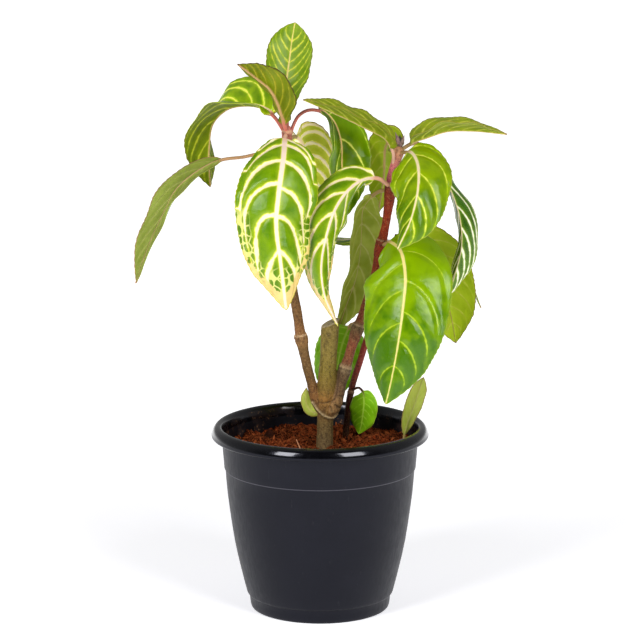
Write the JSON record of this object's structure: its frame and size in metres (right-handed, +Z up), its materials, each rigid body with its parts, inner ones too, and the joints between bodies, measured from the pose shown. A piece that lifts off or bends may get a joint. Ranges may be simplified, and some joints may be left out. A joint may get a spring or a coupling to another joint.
{
  "type": "potted zebra plant",
  "caption": "Potted zebra plant with striped leaves on a stumped trunk and slim branches, in a round black plastic nursery pot filled with peat.",
  "frame": {"origin": "centre of the pot's foot, on the surface that the pot stands on", "axes": "+Z up along the pot's axis; the side seen in the picture faces -Y, and +X is to its right"},
  "size_m": [0.2737, 0.16, 0.4332],
  "materials": {
    "pot_plastic": "black, glossy lip over a satin wall",
    "peat": "loose, fibrous, matt",
    "bark": "speckled green-grey bark, matt",
    "young_stem": "smooth red-brown skin",
    "bud_scales": "purple-grey, satin",
    "leaf_left_front_skin": "green with pale veins, satin",
    "leaf_mid_front_skin": "green with pale veins, satin",
    "leaf_low_front_skin": "green with pale veins, satin",
    "leaf_right_front_skin": "green with pale veins, satin",
    "leaf_right_hanging_skin": "green with pale veins, satin",
    "leaf_right_outer_skin": "green with pale veins, satin",
    "leaf_left_top_skin": "green with pale veins, satin",
    "leaf_left_young_skin": "green with pale veins, satin",
    "leaf_left_arch_skin": "green with pale veins, satin",
    "leaf_left_low_skin": "green with pale veins, satin",
    "leaf_right_inner_skin": "green with pale veins, satin",
    "leaf_left_inner_skin": "green with pale veins, satin",
    "leaf_left_rear_skin": "green with pale veins, satin",
    "leaf_right_rear_skin": "green with pale veins, satin",
    "leaf_mid_hanging_skin": "green with pale veins, satin",
    "leaf_low_rear_skin": "green with pale veins, satin",
    "leaf_behind_trunk_skin": "green with pale veins, satin",
    "leaf_thin_tip_skin": "green with pale veins, satin",
    "leaf_low_hidden_skin": "green with pale veins, satin",
    "leaf_small_front_skin": "green with pale veins, satin",
    "leaf_small_left_skin": "green with pale veins, satin",
    "leaf_small_rim_skin": "green with pale veins, satin"
  },
  "bodies": {
    "root": {"pot": "pot_plastic", "soil": "peat", "trunk": "bark", "thin_stem": "young_stem", "bud": "bud_scales", "leaf_left_front": "leaf_left_front_skin", "leaf_mid_front": "leaf_mid_front_skin", "leaf_low_front": "leaf_low_front_skin", "leaf_right_front": "leaf_right_front_skin", "leaf_right_hanging": "leaf_right_hanging_skin", "leaf_right_outer": "leaf_right_outer_skin", "leaf_left_top": "leaf_left_top_skin", "leaf_left_young": "leaf_left_young_skin", "leaf_left_arch": "leaf_left_arch_skin", "leaf_left_low": "leaf_left_low_skin", "leaf_right_inner": "leaf_right_inner_skin", "leaf_left_inner": "leaf_left_inner_skin", "leaf_left_rear": "leaf_left_rear_skin", "leaf_right_rear": "leaf_right_rear_skin", "leaf_mid_hanging": "leaf_mid_hanging_skin", "leaf_low_rear": "leaf_low_rear_skin", "leaf_behind_trunk": "leaf_behind_trunk_skin", "leaf_thin_tip": "leaf_thin_tip_skin", "leaf_low_hidden": "leaf_low_hidden_skin", "leaf_small_front": "leaf_small_front_skin", "leaf_small_left": "leaf_small_left_skin", "leaf_small_rim": "leaf_small_rim_skin"}
  },
  "joints": []
}
